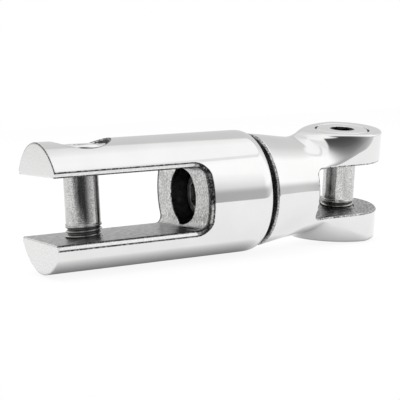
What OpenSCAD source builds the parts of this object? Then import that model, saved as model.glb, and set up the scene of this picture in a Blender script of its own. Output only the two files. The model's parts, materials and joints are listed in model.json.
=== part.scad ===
// Chain and anchor swivel connector: a round barrel with a fork for the anchor shank,
// and a jaw for the chain link that turns on the barrel's axis.
// Origin: where the anchor pin's axis crosses the swivel axis. +X runs to the jaw, +Z along the anchor pin.

/* [Barrel and fork] */
// Outside diameter of the barrel
barrel_d = 28; // [26:0.5:32]
// Width of the slot that takes the anchor shank
slot_w = 13.6; // [12:0.2:15]
// Distance from the anchor pin to the open end of the fork
fork_reach = 10; // [9.5:0.5:12]
// Distance from the anchor pin to the end wall of the slot
slot_depth = 24; // [22:0.5:26]
// Radius in the inner corners of the slot
slot_corner_r = 2.3; // [1:0.1:3]
// Width of the bevel on the slot's long edges
slot_bevel = 1.1; // [0.4:0.1:1.4]
// Diameter of the recess in the slot's end wall
recess_d = 13; // [12.4:0.2:14]

/* [Pins] */
// Diameter of a pin's shank
shank_d = 7.6; // [7.4:0.1:7.6]
// Outside diameter of a pin's thread
thread_d = 8; // [7.9:0.1:8.1]
// Diameter of a pin's head
head_d = 12.6; // [12:0.1:12.8]
// Height of a pin's head
head_h = 4; // [3.5:0.1:4.2]
// Width across the flats of the socket in a pin's head
socket_af = 5; // [4:1:6]

/* [Jaw] */
// Distance between the two pins
pin_spacing = 66.3; // [65:0.1:70]
// Radius of the jaw's ears about the chain pin
ear_r = 9.4; // [9:0.1:10]
// Gap between the ears, for the chain link
jaw_gap = 11.6; // [10.5:0.1:12]
// Height of the jaw over both ears
jaw_h = 26; // [25:0.5:27]
// How far the jaw is turned on the barrel
jaw_turn = 10; // [-180:1:180]

/* [Swivel] */
// Diameter of the swivel bolt's shank
bolt_d = 8; // [7.4:0.2:8.4]
// Diameter of the swivel bolt's head
bolt_head_d = 11.4; // [11:0.1:11.8]
// Open gap between the barrel and the jaw
seam_gap = 1.3; // [1:0.1:1.6]

/* [Hidden] */
$fn = 64;

steel = [0.78, 0.79, 0.80];
pin_steel = [0.70, 0.71, 0.72];
bronze = [0.72, 0.56, 0.33];
dark_plastic = [0.16, 0.16, 0.17];

past = 1;                                   // how far a cutter runs past the face it opens
running = 0.06;                             // radial clearance of a part that turns or slides
clearance = 0.02;                           // keeps two touching faces apart

barrel_r = barrel_d / 2;
end_edge = 1;                               // rounding of the fork's open end
swivel_l = 15.8;                            // from the slot's end wall to the barrel's face at the jaw
seam_x = slot_depth + swivel_l;
draw_in = 0.8;                              // how far the barrel draws in at the jaw
draw_in_l = 4;
seam_r = barrel_r - draw_in;

head_seat_z = 9;                            // underside of a pin's head
counterbore_r = head_d / 2 + 0.1;
counterbore_bevel = 0.3;
fork_rim_z = sqrt(pow(barrel_r, 2) - pow(counterbore_r, 2));
pin_hole_r = thread_d / 2 + running;        // thread crests pass through it
collar_drop = 0.3;                          // how far a pin's collar shows below the upper arm
thread_top_z = -4.1;                        // first turn of thread stands above the lower arm
pin_end_z = -12.2;
fork_hole_bottom_z = -12.6;                 // the lower arm's hole is blind
pin_tip_bevel = 1;
head_edge = 0.5;
socket_depth = 2.8;

bolt_head_x = slot_depth + 3.5;
bolt_head_h = 4;
bolt_head_end_x = bolt_head_x + bolt_head_h;
bolt_head_edge = 0.9;
bolt_socket_depth = 2.4;
bolt_socket_af = 6;
washer_t = 1;
recess_end_x = bolt_head_end_x + washer_t;
bush_r = 5.6;
bush_bore_r = bolt_d / 2 + running;
face_washer_r = seam_r - 2.2;               // stands back from both rims, so the seam stays open

jaw_x = seam_x + seam_gap;                  // the jaw's face at the barrel
jaw_face_r = seam_r - 0.1;
jaw_face_bevel = 0.6;
neck_x = jaw_x + 11;                        // where the cone ends and the ears begin to flare
neck_r = 11.5;
jaw_gap_depth = 12.8;                       // from the chain pin to the end wall of the gap
jaw_gap_x = pin_spacing - jaw_gap_depth;
jaw_gap_corner_r = 1.3;
web_angle = 36;                             // how fast the web's sides close in towards the neck
web_end_x = neck_x - pin_spacing;
web_root_r = ear_r - 0.6;                   // the web starts inside the ears' discs
web_end_half_w = web_root_r * cos(web_angle) + (web_root_r * sin(web_angle) + web_end_x) * tan(web_angle);
flare_l = 5;
flare_top_r = jaw_h / 2 + 4;                // past the ears' tops
flare_root_r = neck_r - 1;
ear_side_w = 2 * ear_r - 0.1;               // the flat sides lie just inside the ears' discs
neck_past_gap = 0.8;                        // the round neck stands a little past the gap's end wall
bolt_end_x = jaw_gap_x - 1.5;               // the bolt's blind hole stops inside the neck

module along_x() {
    rotate([0, 90, 0]) children();
}

module ring(inner_r, outer_r, from_x, to_x) {
    along_x() translate([0, 0, from_x]) difference() {
        cylinder(h = to_x - from_x, r = outer_r);
        translate([0, 0, -past]) cylinder(h = to_x - from_x + 2 * past, r = inner_r);
    }
}

// A rectangle that is open towards -X, with rounded corners at its inner end.
module round_ended(half_w, from_x, to_x, corner_r) {
    translate([from_x, -half_w]) square([to_x - corner_r - from_x, 2 * half_w]);
    translate([from_x, corner_r - half_w]) square([to_x - from_x, 2 * (half_w - corner_r)]);
    for (side = [-1, 1])
        translate([to_x - corner_r, side * (half_w - corner_r)]) circle(r = corner_r);
}

module barrel_outline() {
    polygon([
        [0, -fork_reach],
        [barrel_r - end_edge, -fork_reach],
        [barrel_r, end_edge - fork_reach],
        [barrel_r, seam_x - draw_in_l],
        [barrel_r - draw_in / 4, seam_x - draw_in_l / 2],
        [seam_r, seam_x],
        [0, seam_x],
    ]);
}

// The bevel along one long edge of the slot.
module slot_edge_cutter(side_y, side_z) {
    edge_y = sqrt(pow(barrel_r, 2) - pow(slot_w / 2, 2));
    cutter_l = slot_depth + fork_reach + past - slot_corner_r;
    cutter_w = 1.4 * slot_bevel;            // a square on its corner, about twice slot_bevel across
    translate([-fork_reach - past, side_y * edge_y, side_z * slot_w / 2])
        rotate([45, 0, 0])
            translate([0, -cutter_w / 2, -cutter_w / 2]) cube([cutter_l, cutter_w, cutter_w]);
}

// The hole for a pin: counterbore with a bevelled rim, then one bore down to bottom_z.
module pin_hole(top_z, reach, bottom_z) {
    bevel_h = counterbore_bevel + past;
    translate([0, 0, bottom_z]) cylinder(h = reach - bottom_z, r = pin_hole_r);
    translate([0, 0, head_seat_z]) cylinder(h = reach - head_seat_z, r = counterbore_r);
    translate([0, 0, top_z - counterbore_bevel])
        cylinder(h = bevel_h, r1 = counterbore_r, r2 = counterbore_r + bevel_h);
}

module anchor_fork() {
    color(steel) difference() {
        along_x() rotate_extrude($fn = 128) barrel_outline();
        rotate([90, 0, 0])
            linear_extrude(2 * barrel_d, center = true)
                round_ended(slot_w / 2, -fork_reach - past, slot_depth, slot_corner_r);
        for (side_y = [-1, 1], side_z = [-1, 1]) slot_edge_cutter(side_y, side_z);
        pin_hole(fork_rim_z, barrel_d, fork_hole_bottom_z);
        along_x() cylinder(h = recess_end_x, r = recess_d / 2);
        along_x() cylinder(h = seam_x + past, r = bush_r);
    }
}

// A socket head pin. Its collar, up to the head, fills the hole in the arm; the bare shank is thinner.
module pin(collar_z) {
    difference() {
        union() {
            translate([0, 0, head_seat_z]) cylinder(h = head_h - head_edge, r = head_d / 2);
            translate([0, 0, head_seat_z + head_h - head_edge])
                cylinder(h = head_edge, r1 = head_d / 2, r2 = head_d / 2 - head_edge);
            translate([0, 0, collar_z]) cylinder(h = head_seat_z - collar_z, r = thread_d / 2);
            translate([0, 0, thread_top_z]) cylinder(h = collar_z - thread_top_z, r = shank_d / 2);
            translate([0, 0, pin_end_z + pin_tip_bevel])
                cylinder(h = thread_top_z - pin_end_z - pin_tip_bevel, r = thread_d / 2);
            translate([0, 0, pin_end_z])
                cylinder(h = pin_tip_bevel, r1 = thread_d / 2 - pin_tip_bevel, r2 = thread_d / 2);
        }
        translate([0, 0, head_seat_z + head_h - socket_depth])
            cylinder(h = socket_depth + past, d = socket_af / cos(30), $fn = 6);
    }
}

module anchor_pin() {
    color(pin_steel) pin(slot_w / 2 - collar_drop);
}

module swivel_bolt() {
    color(pin_steel) along_x() difference() {
        union() {
            translate([0, 0, bolt_head_x])
                cylinder(h = bolt_head_edge, r1 = bolt_head_d / 2 - bolt_head_edge, r2 = bolt_head_d / 2);
            translate([0, 0, bolt_head_x + bolt_head_edge])
                cylinder(h = bolt_head_end_x - bolt_head_x - bolt_head_edge, r = bolt_head_d / 2);
            translate([0, 0, bolt_head_end_x]) cylinder(h = bolt_end_x - bolt_head_end_x, r = bolt_d / 2);
        }
        translate([0, 0, bolt_head_x - past])
            cylinder(h = bolt_socket_depth + past, d = bolt_socket_af / cos(30), $fn = 6);
    }
}

module thrust_washer() {
    color(bronze)
        ring(bush_bore_r, recess_d / 2 - running, bolt_head_end_x + clearance, recess_end_x - clearance);
}

module bearing_bush() {
    color(bronze) ring(bush_bore_r, bush_r, recess_end_x, seam_x);
}

module face_washer() {
    color(dark_plastic) ring(bush_bore_r, face_washer_r, seam_x + clearance, jaw_x - clearance);
}

module neck_outline() {
    polygon([
        [0, jaw_x],
        [jaw_face_r - jaw_face_bevel, jaw_x],
        [jaw_face_r, jaw_x + jaw_face_bevel],
        [neck_r, neck_x],
        [neck_r, pin_spacing],
        [0, pin_spacing],
    ]);
}

// The ears' top seen along the pin: a disc with a web that narrows back to the neck.
module ear_top() {
    circle(r = ear_r, $fn = 96);
    polygon([
        [-web_root_r * sin(web_angle), -web_root_r * cos(web_angle)],
        [web_end_x, -web_end_half_w],
        [web_end_x, web_end_half_w],
        [-web_root_r * sin(web_angle), web_root_r * cos(web_angle)],
    ]);
}

// The ears' whole width seen along the pin, with straight sides back to the neck.
module ear_side() {
    circle(r = ear_r, $fn = 96);
    translate([jaw_gap_x - pin_spacing, -ear_side_w / 2]) square([pin_spacing - jaw_gap_x, ear_side_w]);
}

// The web's top falls away to the neck along this cone.
module flare() {
    along_x() rotate_extrude($fn = 128) polygon([
        [0, neck_x],
        [flare_root_r, neck_x],
        [flare_top_r, neck_x + flare_l],
        [flare_top_r, pin_spacing + 2 * ear_r],
        [0, pin_spacing + 2 * ear_r],
    ]);
}

// The turned neck runs on between the ears, and the ears' flat sides trim it.
module neck() {
    intersection() {
        along_x() rotate_extrude($fn = 128) neck_outline();
        union() {
            along_x() cylinder(h = jaw_gap_x + neck_past_gap, r = barrel_d);
            translate([pin_spacing, 0, 0]) linear_extrude(barrel_d, center = true) ear_side();
        }
    }
}

module ears() {
    intersection() {
        translate([pin_spacing, 0, 0]) linear_extrude(jaw_h, center = true) ear_top();
        flare();
    }
}

module at_chain_pin() {
    rotate([jaw_turn, 0, 0]) translate([pin_spacing, 0, 0]) children();
}

module chain_jaw() {
    color(steel) difference() {
        rotate([jaw_turn, 0, 0]) difference() {
            union() {
                neck();
                ears();
            }
            rotate([90, 0, 0])
                linear_extrude(2 * jaw_h, center = true)
                    mirror([1, 0])
                        round_ended(jaw_gap / 2, -pin_spacing - 2 * ear_r, -jaw_gap_x, jaw_gap_corner_r);
            translate([pin_spacing, 0, 0]) pin_hole(jaw_h / 2, jaw_h, -jaw_h);
        }
        along_x() cylinder(h = bolt_end_x, r = bolt_d / 2);
    }
}

module chain_pin() {
    color(pin_steel) at_chain_pin() pin(jaw_gap / 2 - collar_drop);
}

anchor_fork();
anchor_pin();
swivel_bolt();
thrust_washer();
bearing_bush();
face_washer();
chain_jaw();
chain_pin();
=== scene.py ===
"""An anchor swivel connector in mirror-polished and turned stainless steel.

The fork, the jaw, the two pins and the swivel bolt are each written as a distance function and
skinned with a fine mesh, so that every edge is rounded and the reflections run smoothly over it.
Sizes here are in millimetres, in the frame's axes.
"""

import json
import math

import bpy
import numpy as np
from mathutils import Matrix, Vector


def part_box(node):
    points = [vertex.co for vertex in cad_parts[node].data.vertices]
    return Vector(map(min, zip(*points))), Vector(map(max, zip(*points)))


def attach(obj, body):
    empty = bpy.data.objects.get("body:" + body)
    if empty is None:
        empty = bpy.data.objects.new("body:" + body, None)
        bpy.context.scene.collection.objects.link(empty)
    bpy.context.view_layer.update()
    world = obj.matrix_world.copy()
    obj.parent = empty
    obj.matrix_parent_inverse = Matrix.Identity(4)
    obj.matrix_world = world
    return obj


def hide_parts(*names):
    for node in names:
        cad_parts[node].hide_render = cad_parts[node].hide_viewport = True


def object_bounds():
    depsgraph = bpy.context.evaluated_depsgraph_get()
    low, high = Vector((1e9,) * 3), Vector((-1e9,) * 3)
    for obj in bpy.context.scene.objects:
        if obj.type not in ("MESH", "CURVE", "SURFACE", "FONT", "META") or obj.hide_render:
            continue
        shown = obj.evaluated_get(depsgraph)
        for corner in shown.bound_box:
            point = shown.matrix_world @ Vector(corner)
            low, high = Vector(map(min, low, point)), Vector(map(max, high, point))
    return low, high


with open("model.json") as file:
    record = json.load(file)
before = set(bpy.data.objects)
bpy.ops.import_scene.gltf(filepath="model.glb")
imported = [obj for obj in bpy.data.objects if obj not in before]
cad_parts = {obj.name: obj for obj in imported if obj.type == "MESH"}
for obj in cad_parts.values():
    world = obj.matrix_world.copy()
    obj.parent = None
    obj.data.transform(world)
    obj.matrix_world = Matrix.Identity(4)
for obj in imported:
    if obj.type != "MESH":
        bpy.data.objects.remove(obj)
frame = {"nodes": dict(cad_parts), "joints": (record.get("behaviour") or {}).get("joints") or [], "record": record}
cad_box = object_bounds()

MM = 0.001
HALF_ROOT = math.sqrt(0.5)

# ---------------------------------------------------------------- sizes

fork_low, fork_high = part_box("anchor_fork")
jaw_low, jaw_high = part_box("chain_jaw")
bolt_low, bolt_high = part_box("swivel_bolt")
mounts = {m["name"]: m for m in frame["record"]["mounts"]}
joints = {j["name"]: j for j in frame["joints"]}

BARREL_R = fork_high.z / MM
FORK_REACH = -fork_low.x / MM
SEAM_X = fork_high.x / MM
SEAM_DRAW_IN = 0.75
SEAM_DRAW_IN_L = 2.8
SLOT_HALF = 6.8
SLOT_END = 24.0
SLOT_CORNER = 2.0
SLOT_BEVEL = 1.1
END_BEVEL = 0.7
END_BEVEL_FROM = 21.5
# The painted shade on the end wall's bevel leaves out the stretch of z between these two.
UNSHADED_UP_TO = (-1.6, -1.0)
UNSHADED_DOWN_TO = (-5.0, -5.6)
RECESS_R = 6.3
BUSH_R = 5.6

SHANK_R = mounts["anchor_pin_shank"]["dims"]["r_mm"]
THREAD_R = 4.0
THREAD_PITCH = 1.0
THREAD_DEPTH = 0.55
THREAD_TOP = -4.1
THREAD_RUN_IN = 0.3
PIN_HOLE_R = 4.06
PIN_END = -12.2
PIN_TIP_BEVEL = 1.0
HEAD_R = 6.2
HEAD_SEAT = 9.0
HEAD_TOP = 13.0
HEAD_BEVEL = 0.45
SOCKET_HALF_AF = 2.5
SOCKET_DEPTH = 2.8
SOCKET_MOUTH_R = 3.05
DRILL_SLOPE = 0.3
COUNTERBORE_R = 6.45
RIM_BEVEL = 0.25
FORK_HOLE_BOTTOM = -12.6
COLLAR_DROP = 0.3

PIN_SPACING = mounts["chain_pin_shank"]["pos_m"][0] / MM
jaw_pin_axis = Vector(joints["chain_pin_slide"]["axis"])
JAW_TURN = math.atan2(-jaw_pin_axis.y, jaw_pin_axis.z)
JAW_X = jaw_low.x / MM
JAW_FACE_R = 13.1
CONE_L = 11.0
NECK_X = JAW_X + CONE_L
NECK_R = 11.45
JAW_HALF_H = 13.0
JAW_GAP_HALF = 5.8
JAW_GAP_DEPTH = 12.8
JAW_GAP_X = PIN_SPACING - JAW_GAP_DEPTH
JAW_GAP_CORNER = 1.3
JAW_FACE_BEVEL = 0.45
EAR_R = 9.4
EAR_EDGE = 0.6
EAR_TOP_CURVE_R = 14.7
EAR_TOP_CURVE_X = 3.2
EAR_TOP_CURVE_Y = 5.7
SCOOP_R = 5.0
SHOULDER_FILLET = 2.5

BOLT_X = bolt_low.x / MM
BOLT_END = bolt_high.x / MM
BOLT_HEAD_R = 5.7
BOLT_HEAD_H = 4.0
BOLT_HEAD_BEVEL = 0.9
BOLT_SOCKET_HALF_AF = 3.0
BOLT_SOCKET_DEPTH = 2.4
BOLT_R = 4.0
WASHER_T = 1.0
RECESS_END = BOLT_X + BOLT_HEAD_H + WASHER_T

FORK_STEP = 0.28
JAW_STEP = 0.22
BOLT_STEP = 0.2
PIN_STEP = 0.13

# ---------------------------------------------------------------- distance functions


def both(a, b, edge):
    """Where a and b overlap, with the edge between them rounded."""
    rounded = np.hypot(np.maximum(a + edge, 0), np.maximum(b + edge, 0))
    return np.minimum(np.maximum(a, b), -edge) + rounded


def either(a, b, fillet):
    """a and b together, with a fillet in the corner between them."""
    return -both(-a, -b, fillet)


def cut(a, tool, edge):
    return both(a, -tool, edge)


def bevel(body, a, b, width, edge):
    """Takes a flat bevel off body where surfaces a and b meet."""
    return both(body, (a + b + width) * HALF_ROOT, edge)


def between(value, low, high):
    return np.maximum(low - value, value - high)


def open_slot(along, across, end, half, corner):
    """A slot that is open towards lower values of along, with rounded inner corners."""
    u = along - (end - corner)
    v = np.abs(across) - (half - corner)
    outside = np.hypot(np.maximum(u, 0), np.maximum(v, 0))
    return outside + np.minimum(np.maximum(u, v), 0) - corner


def hexagon(x, y, half_af):
    sides = [np.abs(x * math.cos(a) + y * math.sin(a)) for a in (0, math.pi / 3, 2 * math.pi / 3)]
    return np.maximum.reduce(sides) - half_af


def to_jaw(x, y, z):
    """Row-frame points in the jaw's own frame: origin on the chain pin, z along the pin."""
    c, s = math.cos(JAW_TURN), math.sin(JAW_TURN)
    return x - PIN_SPACING, y * c + z * s, z * c - y * s


def drill(body, surface, x, y, z, bottom_z):
    """The pin's hole down to bottom_z, and its counterbore with a bevelled rim."""
    reach = np.hypot(x, y)
    bore = np.maximum(reach - PIN_HOLE_R, bottom_z - z)
    body = cut(body, bore, 0.15)
    counterbore = np.maximum(reach - COUNTERBORE_R, HEAD_SEAT - z)
    body = cut(body, counterbore, 0.12)
    return bevel(body, surface, -counterbore, RIM_BEVEL, 0.12)


def slot_bevel(x):
    """The bevel's width: narrower round the slot's end wall than along the arms."""
    along = np.clip((x - END_BEVEL_FROM) / (SLOT_END - END_BEVEL_FROM), 0, 1)
    return SLOT_BEVEL + (END_BEVEL - SLOT_BEVEL) * along


def fork(x, y, z):
    radius = np.hypot(y, z)
    past_shoulder = np.maximum(x - (SEAM_X - SEAM_DRAW_IN_L), 0) / SEAM_DRAW_IN_L
    draw_in = SEAM_DRAW_IN * past_shoulder**3
    barrel = radius - BARREL_R + draw_in
    body = both(barrel, -FORK_REACH - x, 0.3)
    body = both(body, x - SEAM_X, 0.4)
    slot = open_slot(x, z, SLOT_END, SLOT_HALF, SLOT_CORNER)
    body = cut(body, slot, 0.3)
    body = bevel(body, barrel, -slot, slot_bevel(x), 0.15)
    recess = np.maximum(radius - RECESS_R, x - RECESS_END)
    body = cut(body, recess, 0.25)
    body = cut(body, radius - BUSH_R, 0.15)
    return drill(body, barrel, x, y, z, FORK_HOLE_BOTTOM)


def ear_outline(x, y):
    """The ears' width seen along the pin: a round end with straight sides back to the neck."""
    return np.hypot(np.maximum(x, 0), y) - EAR_R


def ear_top_outline(x, y):
    """The top of an ear: as wide as the ear at the pin, closing in on curved sides to the neck."""
    return np.hypot(np.minimum(x - EAR_TOP_CURVE_X, 0), np.abs(y) + EAR_TOP_CURVE_Y) - EAR_TOP_CURVE_R


def jaw(x, y, z):
    x_row = x
    radius = np.hypot(y, z)
    x, y, z = to_jaw(x, y, z)
    cone_slope = (JAW_FACE_R - NECK_R) / (NECK_X - JAW_X)
    to_neck = NECK_X - x_row
    cone = cone_slope * 0.5 * (to_neck + np.hypot(to_neck, 2))
    neck = radius - NECK_R - cone
    body = either(neck, ear_top_outline(x, y), SCOOP_R)
    past_neck = x_row - JAW_GAP_X - 1
    body = both(body, either(past_neck, ear_outline(x, y), SHOULDER_FILLET), 0.3)
    top = np.abs(z) - JAW_HALF_H
    body = both(body, top, EAR_EDGE)
    face = JAW_X - x_row
    body = bevel(both(body, face, 0.15), neck, face, JAW_FACE_BEVEL, 0.15)
    gap = open_slot(-x_row, z, -JAW_GAP_X, JAW_GAP_HALF, JAW_GAP_CORNER)
    body = cut(body, gap, 0.5)
    thread_bore = np.maximum(radius - BOLT_R, x_row - BOLT_END)
    body = cut(body, thread_bore, 0.1)
    return drill(body, top, x, y, z, -JAW_HALF_H - 1)


def thread(x, y, z):
    """A right-hand thread below THREAD_TOP, whose groove fades out at its upper end.

    The groove has a flat bottom and sloping sides. They are steep, so the distance is held back.
    """
    turn = np.arctan2(y, x) / (2 * math.pi)
    phase = (z / THREAD_PITCH - turn) % 1
    groove = np.clip(1.25 - 2.5 * np.abs(phase - 0.5), 0, 1)
    depth = THREAD_DEPTH * np.clip((THREAD_TOP - z) / (0.6 * THREAD_PITCH), 0, 1)
    run_in = np.clip((THREAD_TOP + THREAD_RUN_IN - z) / THREAD_RUN_IN, 0, 1)
    crest = SHANK_R + (THREAD_R - SHANK_R) * run_in
    return (np.hypot(x, y) - crest + depth * groove) * 0.8


def pin(x, y, z, collar_z):
    reach = np.hypot(x, y)
    shank = both(reach - SHANK_R, between(z, THREAD_TOP, HEAD_SEAT + 1), 0.01)
    collar = both(reach - THREAD_R, between(z, collar_z, HEAD_SEAT + 1), 0.15)
    threaded = both(thread(x, y, z), between(z, PIN_END, THREAD_TOP + 0.5), 0.1)
    threaded = bevel(threaded, reach - THREAD_R, PIN_END - z, PIN_TIP_BEVEL, 0.1)
    head = both(reach - HEAD_R, z - HEAD_TOP, 0.1)
    head = bevel(head, reach - HEAD_R, z - HEAD_TOP, HEAD_BEVEL, 0.12)
    head = both(head, HEAD_SEAT - z, 0.2)
    body = np.minimum(np.minimum(shank, threaded), either(head, collar, 0.1))
    socket_end = HEAD_TOP - SOCKET_DEPTH
    socket = np.maximum(hexagon(x, y, SOCKET_HALF_AF), socket_end + DRILL_SLOPE * reach - z)
    body = cut(body, socket, 0.06)
    countersink = reach - SOCKET_MOUTH_R + HEAD_TOP - z
    return cut(body, countersink, 0.06)


def anchor_pin(x, y, z):
    return pin(x, y, z, SLOT_HALF - COLLAR_DROP)


def chain_pin(x, y, z):
    return pin(*to_jaw(x, y, z), JAW_GAP_HALF - COLLAR_DROP)


def swivel_bolt(x, y, z):
    radius = np.hypot(y, z)
    head = both(radius - BOLT_HEAD_R, between(x, BOLT_X, BOLT_X + BOLT_HEAD_H), 0.2)
    head = bevel(head, radius - BOLT_HEAD_R, BOLT_X - x, BOLT_HEAD_BEVEL, 0.3)
    shank = both(radius - BOLT_R, between(x, BOLT_X + 1, BOLT_END), 0.3)
    body = either(head, shank, 0.1)
    socket_end = BOLT_X + BOLT_SOCKET_DEPTH
    socket = np.maximum(hexagon(y, z, BOLT_SOCKET_HALF_AF), x - socket_end + DRILL_SLOPE * radius)
    return cut(body, socket, 0.1)


# ---------------------------------------------------------------- skinning

CORNERS = np.array([(i, j, k) for i in (0, 1) for j in (0, 1) for k in (0, 1)])
CELL_EDGES = [
    (a, b) for a in range(8) for b in range(a) if np.abs(CORNERS[a] - CORNERS[b]).sum() == 1
]
PROJECTIONS = 5  # how many times the points are moved onto the surface


def gradient(distance, points, reach=0.01):
    """The surface's outward direction at each point."""
    slopes = []
    for offset in np.eye(3) * reach:
        ahead = distance(*(points + offset).T)
        behind = distance(*(points - offset).T)
        slopes.append((ahead - behind) / (2 * reach))
    return np.stack(slopes, -1)


def crossing_points(values, cells, low, step):
    """One point in each cell the surface passes through: the mean of where it cuts the cell's edges."""
    at_corner = [values[tuple((cells + c).T)] for c in CORNERS]
    total = np.zeros(cells.shape)
    crossings = np.zeros(len(cells))
    for a, b in CELL_EDGES:
        crossed = (at_corner[a] < 0) != (at_corner[b] < 0)
        share = np.where(crossed, at_corner[a] / np.where(crossed, at_corner[a] - at_corner[b], 1), 0)
        place = CORNERS[a] + share[:, None] * (CORNERS[b] - CORNERS[a])
        total += place * crossed[:, None]
        crossings += crossed
    return low + step * (cells + total / crossings[:, None])


def quads_across(inside, number, axis):
    """A quad round each grid edge along axis that the surface crosses, facing outwards."""
    i, j = (axis + 1) % 3, (axis + 2) % 3
    here = np.moveaxis(inside, (axis, i, j), (0, 1, 2))
    cells = np.moveaxis(number, (axis, i, j), (0, 1, 2))
    starts = np.argwhere(here[:-1, 1:-1, 1:-1] != here[1:, 1:-1, 1:-1])
    a, b, c = starts.T
    ring = [cells[a, b + db, c + dc] for db, dc in ((0, 0), (1, 0), (1, 1), (0, 1))]
    quads = np.stack(ring, -1)
    outward = here[a, b + 1, c + 1]
    return np.where(outward[:, None], quads, quads[:, ::-1])


def skin(distance, low, high, step):
    """The closed surface where distance is zero: its points, quads and normals."""
    low = np.array(low) / MM - 2.5 * step
    counts = np.ceil((np.array(high) / MM - low) / step).astype(int) + 3
    axes = [low[k] + step * np.arange(counts[k]) for k in range(3)]
    values = distance(*np.meshgrid(*axes, indexing="ij"))
    inside = values < 0
    spans = [(slice(0, -1), slice(1, None))[c] for c in (0, 1)]
    full = sum(inside[spans[i], spans[j], spans[k]].astype(np.int8) for i, j, k in CORNERS)
    cells = np.argwhere((full > 0) & (full < 8))
    number = np.full(full.shape, -1)
    number[tuple(cells.T)] = np.arange(len(cells))
    points = crossing_points(values, cells, low, step)
    for _ in range(PROJECTIONS):
        slope = gradient(distance, points)
        steepness = np.maximum((slope**2).sum(-1), 0.25)
        points -= slope * (distance(*points.T) / steepness)[:, None]
    quads = np.concatenate([quads_across(inside, number, axis) for axis in range(3)])
    normals = gradient(distance, points)
    normals /= np.linalg.norm(normals, axis=1)[:, None]
    return points, quads, normals


def piece(name, distance, node, body, step, materials, finish=None):
    """A skinned piece that stands for a CAD node. finish says which material each face takes."""
    points, quads, normals = skin(distance, *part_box(node), step)
    mesh = bpy.data.meshes.new(name)
    mesh.from_pydata((points * MM).tolist(), [], quads.tolist())
    for material in materials:
        mesh.materials.append(material)
    if finish is not None:
        centres = points[quads].mean(1)
        mesh.polygons.foreach_set("material_index", finish(*centres.T).astype(np.int32))
    mesh.shade_smooth()
    mesh.normals_split_custom_set_from_vertices(normals.tolist())
    made = bpy.data.objects.new(name, mesh)
    bpy.context.scene.collection.objects.link(made)
    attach(made, body)
    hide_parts(node)
    return made


# ---------------------------------------------------------------- materials


def node(tree, kind, settings=None, **inputs):
    """A node with its settings and its inputs; an input that is a socket is linked."""
    made = tree.nodes.new(kind)
    for key, value in (settings or {}).items():
        setattr(made, key, value)
    for key, value in inputs.items():
        place = made.inputs[int(key[1:])] if key[0] == "_" else made.inputs[key.replace("_", " ")]
        if isinstance(value, bpy.types.NodeSocket):
            tree.links.new(value, place)
        else:
            place.default_value = value
    return made


def calc(tree, operation, a, b=0.0):
    return node(tree, "ShaderNodeMath", {"operation": operation}, _0=a, _1=b).outputs[0]


def blend(tree, share, a, b):
    return node(tree, "ShaderNodeMix", {"data_type": "FLOAT"}, _0=share, _2=a, _3=b).outputs[0]


def step_between(tree, value, off, on):
    """0 where value is at off, 1 where it is at on, and smooth between."""
    smooth = {"interpolation_type": "SMOOTHSTEP"}
    return node(tree, "ShaderNodeMapRange", smooth, Value=value, From_Min=off, From_Max=on).outputs[0]


def grey(value, warmth=0.0):
    return (value * (1 + warmth), value, value * (1 - warmth), 1)


def surface(name, metallic):
    """A new material: its node tree, its shader and the piece's own coordinates."""
    material = bpy.data.materials.new(name)
    material.use_nodes = True
    tree = material.node_tree
    shader = tree.nodes["Principled BSDF"]
    shader.inputs["Metallic"].default_value = metallic
    place = node(tree, "ShaderNodeTexCoord").outputs["Object"]
    return material, tree, shader, place


def noise(tree, place, scale, detail=3.0, stretch=(1, 1, 1)):
    """Noise between about 0.3 and 0.7. scale is in features per millimetre."""
    scales = [s * scale / MM for s in stretch]
    mapped = node(tree, "ShaderNodeMapping", Vector=place, Scale=scales)
    made = node(tree, "ShaderNodeTexNoise", Vector=mapped.outputs[0], Scale=1.0, Detail=detail)
    return made.outputs[0]


def rescale(tree, value, from_range, to_range):
    """Value mapped from one range to another, and held inside it."""
    return node(
        tree, "ShaderNodeMapRange", Value=value,
        From_Min=from_range[0], From_Max=from_range[1], To_Min=to_range[0], To_Max=to_range[1],
    ).outputs[0]


def spread(tree, value, low, high):
    """Noise mapped onto a range of values."""
    return rescale(tree, value, (0.3, 0.7), (low, high))


def mix(tree, share, a, b, how="MIX"):
    """Two colours mixed."""
    settings = {"data_type": "RGBA", "blend_type": how}
    return node(tree, "ShaderNodeMix", settings, _0=share, _6=a, _7=b).outputs[2]


def tint(tree, value, dark, light):
    return mix(tree, spread(tree, value, 0, 1), dark, light)


def bump(tree, shader, height, depth_mm, strength, under=None):
    made = node(tree, "ShaderNodeBump", Height=height, Distance=depth_mm * MM, Strength=strength)
    if under is not None:
        tree.links.new(under, made.inputs["Normal"])
    tree.links.new(made.outputs[0], shader.inputs["Normal"])
    return made.outputs[0]


def in_mm(tree, place):
    """The three coordinates in millimetres."""
    scaled = node(tree, "ShaderNodeVectorMath", {"operation": "SCALE"}, _0=place, _3=1 / MM)
    return node(tree, "ShaderNodeSeparateXYZ", Vector=scaled.outputs[0]).outputs


def length(tree, a, b):
    sides = node(tree, "ShaderNodeCombineXYZ", X=a, Y=b)
    measure = node(tree, "ShaderNodeVectorMath", {"operation": "LENGTH"}, _0=sides.outputs[0])
    return measure.outputs["Value"]


def thin_line(tree, value, at, half_width):
    """1 where value is close to at, fading to 0 at half_width from it."""
    apart = calc(tree, "ABSOLUTE", calc(tree, "SUBTRACT", value, at))
    return step_between(tree, apart, half_width, 0.4 * half_width)


def from_open_slot(tree, along, across, end, half, corner):
    """The distance from an open slot's wall, as open_slot gives it."""
    u = calc(tree, "SUBTRACT", along, end - corner)
    v = calc(tree, "SUBTRACT", calc(tree, "ABSOLUTE", across), half - corner)
    outside = length(tree, calc(tree, "MAXIMUM", u, 0.0), calc(tree, "MAXIMUM", v, 0.0))
    within = calc(tree, "MINIMUM", calc(tree, "MAXIMUM", u, v), 0.0)
    return calc(tree, "SUBTRACT", calc(tree, "ADD", outside, within), corner)


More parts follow.
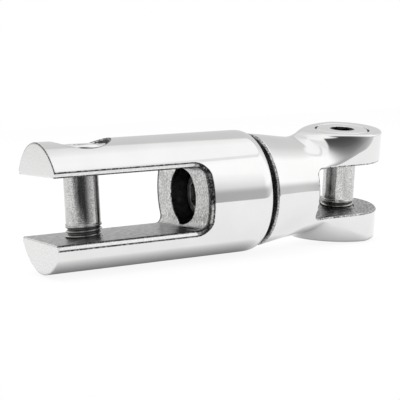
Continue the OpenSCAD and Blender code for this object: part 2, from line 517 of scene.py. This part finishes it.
def all_of(tree, *shares):
    product = shares[0]
    for share in shares[1:]:
        product = calc(tree, "MULTIPLY", product, share)
    return product


def any_of(tree, *shares):
    largest = shares[0]
    for share in shares[1:]:
        largest = calc(tree, "MAXIMUM", largest, share)
    return largest


def slot_lines(tree, radius, on_barrel, from_slot, past_bevel):
    """Painted dark lines along both edges of the slot's bevel, standing in for what these edges reflect."""
    at_slot = calc(tree, "LESS_THAN", from_slot, 0.3)
    outer = all_of(tree, thin_line(tree, past_bevel, 0.0, 0.24), on_barrel)
    inner = all_of(tree, thin_line(tree, radius, BARREL_R - SLOT_BEVEL + 0.1, 0.7), at_slot)
    return any_of(tree, outer, inner)


def counterbore_line(tree, x, y, z, on_barrel):
    # A painted dark line round the counterbore's rim, standing in for what the rim reflects.
    line = thin_line(tree, length(tree, x, y), COUNTERBORE_R + RIM_BEVEL, 0.3)
    return all_of(tree, line, on_barrel, calc(tree, "GREATER_THAN", z, HEAD_SEAT))


def arm_end_line(tree, x, z, on_barrel):
    """A fine painted dark line round the end of the upper arm, standing in for what its edge reflects."""
    above_slot = calc(tree, "GREATER_THAN", z, SLOT_HALF)
    return all_of(tree, thin_line(tree, x, 0.10 - FORK_REACH, 0.11), on_barrel, above_slot)


def end_bevel_shade(tree, x, z, radius, from_slot, past_bevel):
    """Painted shade on the bevel round the slot's end wall, apart from an unshaded stretch below the middle."""
    on_bevel = all_of(
        tree,
        step_between(tree, past_bevel, 0.1, 0.0),
        step_between(tree, from_slot, 0.02, 0.08),
        calc(tree, "GREATER_THAN", radius, BARREL_R - SLOT_BEVEL - 0.4),
        step_between(tree, x, SLOT_END - SLOT_CORNER + 0.2, SLOT_END - SLOT_CORNER + 0.8),
    )
    shaded_band = any_of(tree, step_between(tree, z, *UNSHADED_UP_TO), step_between(tree, z, *UNSHADED_DOWN_TO))
    return all_of(tree, on_bevel, shaded_band)


def fork_edge_shade(tree, place):
    """1 on painted dark lines along the fork's edges and painted shade on the end wall's bevel, standing in for
    what these edges reflect, broken up by noise.
    """
    x, y, z = in_mm(tree, place)
    radius = length(tree, y, z)
    on_barrel = calc(tree, "GREATER_THAN", radius, BARREL_R - 0.3)
    from_slot = from_open_slot(tree, x, z, SLOT_END, SLOT_HALF, SLOT_CORNER)
    bevel_width = rescale(tree, x, (END_BEVEL_FROM, SLOT_END), (SLOT_BEVEL, END_BEVEL))
    past_bevel = calc(tree, "SUBTRACT", from_slot, bevel_width)
    lines = any_of(
        tree,
        slot_lines(tree, radius, on_barrel, from_slot, past_bevel),
        counterbore_line(tree, x, y, z, on_barrel),
        arm_end_line(tree, x, z, on_barrel),
    )
    shaded_band = end_bevel_shade(tree, x, z, radius, from_slot, past_bevel)
    breaks = spread(tree, noise(tree, place, 3.0, 3.0), 0.45, 1.3)
    coarse_breaks = spread(tree, noise(tree, place, 2.2, 3.0), 0.5, 1.4)
    return any_of(tree, all_of(tree, lines, breaks), all_of(tree, shaded_band, coarse_breaks))


def jaw_edge_shade(tree, place):
    """1 on the thin painted dark line along the edges of the jaw's gap, standing in for what the edges reflect."""
    turned = node(
        tree, "ShaderNodeMapping", {"vector_type": "TEXTURE"}, Vector=place, Rotation=(JAW_TURN, 0, 0)
    ).outputs[0]
    x, _, z = in_mm(tree, turned)
    along = calc(tree, "MULTIPLY", x, -1.0)
    from_gap = from_open_slot(tree, along, z, -JAW_GAP_X, JAW_GAP_HALF, JAW_GAP_CORNER)
    line = thin_line(tree, from_gap, 0.25, 0.25)
    return all_of(tree, line, spread(tree, noise(tree, place, 2.0, 3.0), 0.0, 1.1))


def darken(tree, shader, share, colour, roughness):
    """Links the colour and roughness to the shader, with dull dark metal where share is 1, for painted shade."""
    tree.links.new(mix(tree, share, colour, grey(0.02)), shader.inputs["Base Color"])
    tree.links.new(blend(tree, share, roughness, 0.45), shader.inputs["Roughness"])


def polished_steel(name, edge_shade):
    material, tree, shader, place = surface(name, 1.0)
    haze = noise(tree, place, 0.12, 4.0)
    hairlines = noise(tree, place, 1.0, 2.0, (0.15, 6, 6))
    colour = tint(tree, haze, grey(0.78, 0.004), grey(0.82, 0.002))
    darken(tree, shader, edge_shade(tree, place), colour, spread(tree, haze, 0.03, 0.06))
    bump(tree, shader, hairlines, 0.004, 0.05)
    return material


def milled_steel(name, edge_shade, dark, light, grain):
    """A slot's or gap's walls as the cutter left them: satin, mottled and full of small pits."""
    material, tree, shader, place = surface(name, 1.0)
    grit = noise(tree, place, 2.2, 4.0, grain)
    patches = noise(tree, place, 0.45, 4.0, grain)
    pitted = tint(tree, grit, grey(dark, 0.01), grey(light, 0.006))
    shade = tint(tree, patches, grey(0.65), grey(1.0))
    colour = mix(tree, 1.0, pitted, shade, "MULTIPLY")
    darken(tree, shader, edge_shade(tree, place), colour, spread(tree, patches, 0.24, 0.42))
    bump(tree, shader, grit, 0.05, 0.7)
    return material


def ground_steel(edge_shade):
    """The arms' end faces and the slot's bevels: fine ground and a little grainy."""
    material, tree, shader, place = surface("ground_steel", 1.0)
    grain = noise(tree, place, 3.0, 3.0)
    colour = tint(tree, grain, grey(0.62, 0.006), grey(0.88, 0.004))
    darken(tree, shader, edge_shade(tree, place), colour, spread(tree, grain, 0.16, 0.30))
    bump(tree, shader, grain, 0.02, 0.4)
    return material


def painted_shade_steel(name, light):
    """Unpolished steel painted dark for the shade inside the recess, in the sockets and on the swivel bolt,
    mottled by noise.
    """
    material, tree, shader, place = surface(name, 1.0)
    shade_mottle = noise(tree, place, 0.7, 4.0)
    specks = noise(tree, place, 4.0, 3.0)
    colour = tint(tree, shade_mottle, grey(0.3 * light, 0.01), grey(light, 0.01))
    tree.links.new(colour, shader.inputs["Base Color"])
    tree.links.new(spread(tree, specks, 0.28, 0.50), shader.inputs["Roughness"])
    bump(tree, shader, specks, 0.03, 0.5)
    return material


def turned_steel(name, axis_x=0.0, turn=0.0):
    """A pin's satin steel: fine rings round its axis, specks and stains, and painted shade in the thread grooves.

    The axis crosses the row's X axis at axis_x and leans by turn about it.
    """
    material, tree, shader, place = surface(name, 1.0)
    upright = node(
        tree, "ShaderNodeMapping", {"vector_type": "TEXTURE"},
        Vector=place, Location=(axis_x * MM, 0, 0), Rotation=(turn, 0, 0),
    ).outputs[0]
    rings = noise(tree, upright, 1.0, 3.0, (0.3, 0.3, 9))
    stains = noise(tree, upright, 0.6, 4.0, (1, 1, 0.35))
    specks = noise(tree, upright, 5.0, 3.0)
    x, y, z = in_mm(tree, upright)
    # Painted shade at the bottom of the thread's grooves.
    groove = step_between(tree, length(tree, x, y), THREAD_R - 0.2, THREAD_R - 0.7 * THREAD_DEPTH)
    threaded = calc(tree, "LESS_THAN", z, THREAD_TOP + THREAD_RUN_IN)
    groove = all_of(tree, groove, all_of(tree, threaded, 0.8))
    speckled = tint(tree, specks, grey(0.36, 0.01), grey(0.96, 0.006))
    shade = tint(tree, stains, grey(0.7), grey(1.0))
    colour = mix(tree, 1.0, speckled, shade, "MULTIPLY")
    darken(tree, shader, groove, colour, spread(tree, stains, 0.08, 0.18))
    bump(tree, shader, specks, 0.012, 0.4, under=bump(tree, shader, rings, 0.010, 0.4))
    return material


def bearing_bronze():
    material, tree, shader, place = surface("bearing_bronze", 1.0)
    mottle = noise(tree, place, 0.8, 4.0)
    pores = noise(tree, place, 6.0, 2.0)
    colour = tint(tree, mottle, (0.50, 0.33, 0.15, 1), (0.72, 0.52, 0.28, 1))
    tree.links.new(colour, shader.inputs["Base Color"])
    tree.links.new(spread(tree, pores, 0.30, 0.50), shader.inputs["Roughness"])
    bump(tree, shader, pores, 0.02, 0.4)
    return material


def dark_plastic():
    material, tree, shader, place = surface("dark_plastic", 0.0)
    grain = noise(tree, place, 5.0, 3.0)
    tree.links.new(tint(tree, grain, grey(0.012), grey(0.035)), shader.inputs["Base Color"])
    tree.links.new(spread(tree, grain, 0.45, 0.65), shader.inputs["Roughness"])
    bump(tree, shader, grain, 0.03, 0.5)
    return material


POLISHED, MILLED, GROUND, SHADED, WALL = range(5)
TURNED, HEAD, SOCKET = range(3)


def fork_finish(x, y, z):
    """Polished outside, milled in the slot, ground on the bevels and the end faces."""
    radius = np.hypot(y, z)
    from_slot = open_slot(x, z, SLOT_END, SLOT_HALF, SLOT_CORNER)
    slot = np.abs(from_slot) < 0.05
    beside_barrel = (radius < BARREL_R - 0.05) & (radius > BARREL_R - SLOT_BEVEL - 0.1)
    on_bevel = (from_slot < slot_bevel(x)) & beside_barrel
    ground = (x < -FORK_REACH + 0.05) | (on_bevel & (x < END_BEVEL_FROM))
    from_pin = np.hypot(x, y)
    hole = from_pin < PIN_HOLE_R + 0.05
    counterbore = (from_pin < COUNTERBORE_R + 0.03) & (z > HEAD_SEAT - 0.1)
    recess = (radius < RECESS_R + 0.05) & (x > SLOT_END + 0.2)
    wall = slot & (x > SLOT_END - 1.2)
    rough = slot | hole | on_bevel | (x > SEAM_X - 0.1)
    # The recess and the counterbore take steel painted dark for their shade.
    places = [recess | counterbore, wall, ground, rough]
    return np.select(places, [SHADED, WALL, GROUND, MILLED], POLISHED)


def jaw_finish(x, y, z):
    """The gap's walls, the pin's hole and the face at the barrel are milled."""
    seam = x < JAW_X + JAW_FACE_BEVEL
    local_x, local_y, local_z = to_jaw(x, y, z)
    gap = np.abs(open_slot(-x, local_z, -JAW_GAP_X, JAW_GAP_HALF, JAW_GAP_CORNER)) < 0.05
    bore = (np.hypot(local_x, local_y) < COUNTERBORE_R + 0.05) & (np.abs(local_z) < JAW_HALF_H - 0.05)
    return np.where(seam | gap | bore, MILLED, POLISHED)


def anchor_pin_finish(x, y, z):
    # The hex socket takes steel painted near black for its shade.
    in_socket = (np.hypot(x, y) < SOCKET_HALF_AF / math.cos(math.pi / 6) + 0.03) & (z > HEAD_SEAT)
    return np.select([in_socket, z > HEAD_SEAT - 0.1], [SOCKET, HEAD], TURNED)


def chain_pin_finish(x, y, z):
    return anchor_pin_finish(*to_jaw(x, y, z))


# ---------------------------------------------------------------- pieces

LENGTHWISE = (0.35, 1, 1)
EVEN = (1, 1, 1)

# Steel painted dark for the shade inside the recess and the counterbore.
recess_shade_steel = painted_shade_steel("painted_shade_steel", 0.16)
fork_steel = [
    polished_steel("polished_steel", fork_edge_shade),
    milled_steel("milled_steel", fork_edge_shade, 0.16, 0.86, LENGTHWISE),
    ground_steel(fork_edge_shade),
    recess_shade_steel,
    milled_steel("end_wall_steel", fork_edge_shade, 0.34, 1.0, EVEN),
]
jaw_steel = [
    polished_steel("polished_jaw_steel", jaw_edge_shade),
    milled_steel("milled_jaw_steel", jaw_edge_shade, 0.08, 0.85, EVEN),
]
# Steel painted near black for the shade in the pins' hex sockets.
socket = painted_shade_steel("socket_shade_steel", 0.05)
anchor_pin_steel = [turned_steel("turned_steel"), jaw_steel[POLISHED], socket]
chain_pin_steel = [turned_steel("turned_steel_leaning", PIN_SPACING, JAW_TURN), *anchor_pin_steel[1:]]
# The swivel bolt sits in the recess and is painted dark for its shade.
bolt_steel = [painted_shade_steel("painted_shade_bolt_steel", 0.45)]

fork_piece = piece("fork_body", fork, "anchor_fork", "fork", FORK_STEP, fork_steel, fork_finish)
jaw_piece = piece("jaw_body", jaw, "chain_jaw", "jaw", JAW_STEP, jaw_steel, jaw_finish)
bolt_piece = piece("swivel_bolt_screw", swivel_bolt, "swivel_bolt", "jaw", BOLT_STEP, bolt_steel)
anchor_pin_piece = piece(
    "anchor_pin_screw", anchor_pin, "anchor_pin", "anchor_pin", PIN_STEP,
    anchor_pin_steel, anchor_pin_finish,
)
chain_pin_piece = piece(
    "chain_pin_screw", chain_pin, "chain_pin", "chain_pin", PIN_STEP,
    chain_pin_steel, chain_pin_finish,
)

bronze = bearing_bronze()
plastic = dark_plastic()
inner_parts = {"thrust_washer": bronze, "bearing_bush": bronze, "face_washer": plastic}
for node_name, material in inner_parts.items():
    slots = frame["nodes"][node_name].data.materials
    slots.clear()
    slots.append(material)

# ---------------------------------------------------------------- floor

FLOOR_Z = cad_box[0].z
FLOOR_FRONT = -0.070
FLOOR_BACK = 1.5
FLOOR_SIDE = 1.5
FLOOR_GLOW = 0.92
FLOOR_GLOW_SEEN = 0.96
CONTACT_SHADE = 0.15
CONTACT_SHADE_REACH = 0.003


def floor_material():
    """Pale paint that glows white. Close under the object the steel mirrors it shaded."""
    material, tree, shader, place = surface("floor_paint", 0.0)
    mottle = noise(tree, place, 0.02, 3.0)
    tree.links.new(tint(tree, mottle, grey(0.90), grey(0.93)), shader.inputs["Base Color"])
    shader.inputs["Roughness"].default_value = 0.9
    open_above = node(tree, "ShaderNodeAmbientOcclusion", Distance=CONTACT_SHADE_REACH).outputs["AO"]
    shade = blend(tree, open_above, CONTACT_SHADE, 1.0)
    seen = node(tree, "ShaderNodeLightPath").outputs["Is Camera Ray"]
    level = blend(tree, seen, shade, blend(tree, FLOOR_GLOW_SEEN, shade, 1.0))
    glow = node(tree, "ShaderNodeEmission", Color=(1, 1, 1, 1), Strength=level)
    mixed = node(tree, "ShaderNodeMixShader", _0=FLOOR_GLOW, _1=shader.outputs[0], _2=glow.outputs[0])
    tree.links.new(mixed.outputs[0], tree.nodes["Material Output"].inputs["Surface"])
    return material


floor_mesh = bpy.data.meshes.new("floor")
floor_mesh.from_pydata(
    [
        (-FLOOR_SIDE, FLOOR_FRONT, FLOOR_Z),
        (FLOOR_SIDE, FLOOR_FRONT, FLOOR_Z),
        (FLOOR_SIDE, FLOOR_BACK, FLOOR_Z),
        (-FLOOR_SIDE, FLOOR_BACK, FLOOR_Z),
    ],
    [],
    [(0, 1, 2, 3)],
)
floor_mesh.materials.append(floor_material())
floor = bpy.data.objects.new("floor", floor_mesh)
bpy.context.scene.collection.objects.link(floor)

# ---------------------------------------------------------------- studio

# Brightness of the studio's walls, ceiling and far floor by direction in degrees: 0 is straight ahead
# of the object and 90 is towards +X. The dark part ahead is where the photographer stands.
WALLS = [
    (-180, 0.80),
    (-140, 0.86),
    (-60, 1.10),
    (-22, 1.15),
    (-18, 0.07),
    (-8, 0.09),
    (0, 0.13),
    (6, 0.22),
    (11, 0.34),
    (17, 0.58),
    (22, 0.78),
    (30, 1.05),
    (38, 1.20),
    (75, 1.22),
    (90, 1.00),
    (115, 0.78),
    (150, 0.70),
    (180, 0.80),
]
CEILING = [
    (-180, 0.85),
    (-60, 1.10),
    (-28, 1.15),
    (-15, 0.95),
    (5, 0.95),
    (20, 1.10),
    (60, 1.20),
    (110, 1.20),
    (135, 1.05),
    (155, 0.90),
    (180, 0.90),
]
FAR_FLOOR = [
    (-180, 0.90),
    (-125, 0.80),
    (-108, 0.03),
    (-62, 0.03),
    (-51, 0.18),
    (-43, 0.04),
    (-5, 0.06),
    (10, 0.20),
    (22, 0.42),
    (34, 0.55),
    (60, 0.80),
    (180, 0.85),
]
WALL_SLANT = 0.4  # how far the walls' upright edges lean, in radians for each unit of height
WALL_SLANT_FROM = 0.42
WALL_TOP = (0.74, 0.79)
WALL_FOOT = (0.20, 0.0)
CORNICE = 0.80
CORNICE_TOP = 0.95
CORNICE_FALL = 0.135
OVERHEAD = 0.95


def brightness(tree, angle, stops):
    """A value that follows stops, given as (degrees, brightness), round a full turn."""
    share = node(tree, "ShaderNodeMapRange", Value=angle, From_Min=-math.pi, From_Max=math.pi)
    curve = node(tree, "ShaderNodeFloatCurve", Value=share.outputs[0])
    line = curve.mapping.curves[0].points
    tallest = max(level for _, level in stops)
    for count, (degrees, level) in enumerate(stops):
        spot = ((degrees + 180) / 360, level / tallest)
        if count in (0, len(stops) - 1):
            line[min(count, 1)].location = spot
        else:
            line.new(*spot)
    for point in line:
        point.handle_type = "VECTOR"
    curve.mapping.update()
    return calc(tree, "MULTIPLY", curve.outputs[0], tallest)


def studio():
    """A world whose light depends on direction alone. The camera itself sees it white."""
    world = bpy.data.worlds.new("studio")
    bpy.context.scene.world = world
    world.use_nodes = True
    tree = world.node_tree
    tree.nodes.clear()
    toward = node(tree, "ShaderNodeTexCoord").outputs["Generated"]
    x, y, z = node(tree, "ShaderNodeSeparateXYZ", Vector=toward).outputs
    ahead = calc(tree, "MULTIPLY", y, -1.0)
    sideways = calc(tree, "ARCTAN2", x, ahead)
    slant = calc(tree, "MULTIPLY", calc(tree, "SUBTRACT", z, WALL_SLANT_FROM), WALL_SLANT)
    slanted = calc(tree, "ADD", sideways, slant)
    cornice_height = calc(tree, "SUBTRACT", CORNICE_TOP, calc(tree, "MULTIPLY", sideways, CORNICE_FALL))
    above_cornice = calc(tree, "SUBTRACT", z, cornice_height)
    overhead = blend(tree, step_between(tree, above_cornice, 0.0, 0.03), 1.0, OVERHEAD)
    edge = thin_line(tree, above_cornice, 0.0, 0.035)
    edge = all_of(tree, edge, step_between(tree, sideways, 0.2, 0.4))
    cornice = blend(tree, edge, overhead, CORNICE)
    ceiling = calc(tree, "MULTIPLY", brightness(tree, sideways, CEILING), cornice)
    above = blend(tree, step_between(tree, z, *WALL_TOP), brightness(tree, slanted, WALLS), ceiling)
    below = brightness(tree, sideways, FAR_FLOOR)
    light = blend(tree, step_between(tree, z, *WALL_FOOT), above, below)
    seen = node(tree, "ShaderNodeLightPath").outputs["Is Camera Ray"]
    shown = blend(tree, seen, light, 1.0)
    background = node(tree, "ShaderNodeBackground", Color=(1, 1, 1, 1), Strength=shown)
    node(tree, "ShaderNodeOutputWorld", Surface=background.outputs[0])


def soft_light(name, place, aim, size, power):
    """A softbox for what isn't metal, such as the floor. The steel doesn't mirror it."""
    lamp = bpy.data.lights.new(name, "AREA")
    lamp.shape = "DISK"
    lamp.size = size
    lamp.energy = power
    made = bpy.data.objects.new(name, lamp)
    made.location = place
    made.rotation_mode = "QUATERNION"
    made.rotation_quaternion = (Vector(aim) - Vector(place)).to_track_quat("-Z", "Y")
    made.visible_glossy = False
    bpy.context.scene.collection.objects.link(made)
    return made


studio()
middle = (0.03, 0, 0)
soft_light("overhead_softbox", (0.05, 0.10, 0.60), middle, 0.9, 4.0)

# ---------------------------------------------------------------- camera

AZIMUTH = math.radians(-27.36)
ELEVATION = math.radians(5.35)
ROLL = math.radians(-2.70)
DISTANCE = 0.2428
LENS = 96.65
TARGET = Vector((0.02835, 0, -0.00136))


def photo_camera():
    back = Vector((
        math.sin(AZIMUTH) * math.cos(ELEVATION),
        -math.cos(AZIMUTH) * math.cos(ELEVATION),
        math.sin(ELEVATION),
    ))
    lens = bpy.data.cameras.new("camera")
    lens.sensor_width = 36
    lens.lens = LENS
    lens.clip_start = 0.01
    lens.clip_end = 20
    made = bpy.data.objects.new("camera", lens)
    bpy.context.scene.collection.objects.link(made)
    turn = (-back).to_track_quat("-Z", "Y").to_matrix().to_4x4()
    roll = Matrix.Rotation(ROLL, 4, "Z")
    made.matrix_world = Matrix.Translation(TARGET + back * DISTANCE) @ turn @ roll
    return made


bpy.context.scene.camera = photo_camera()
bpy.context.scene.view_settings.view_transform = "Standard"
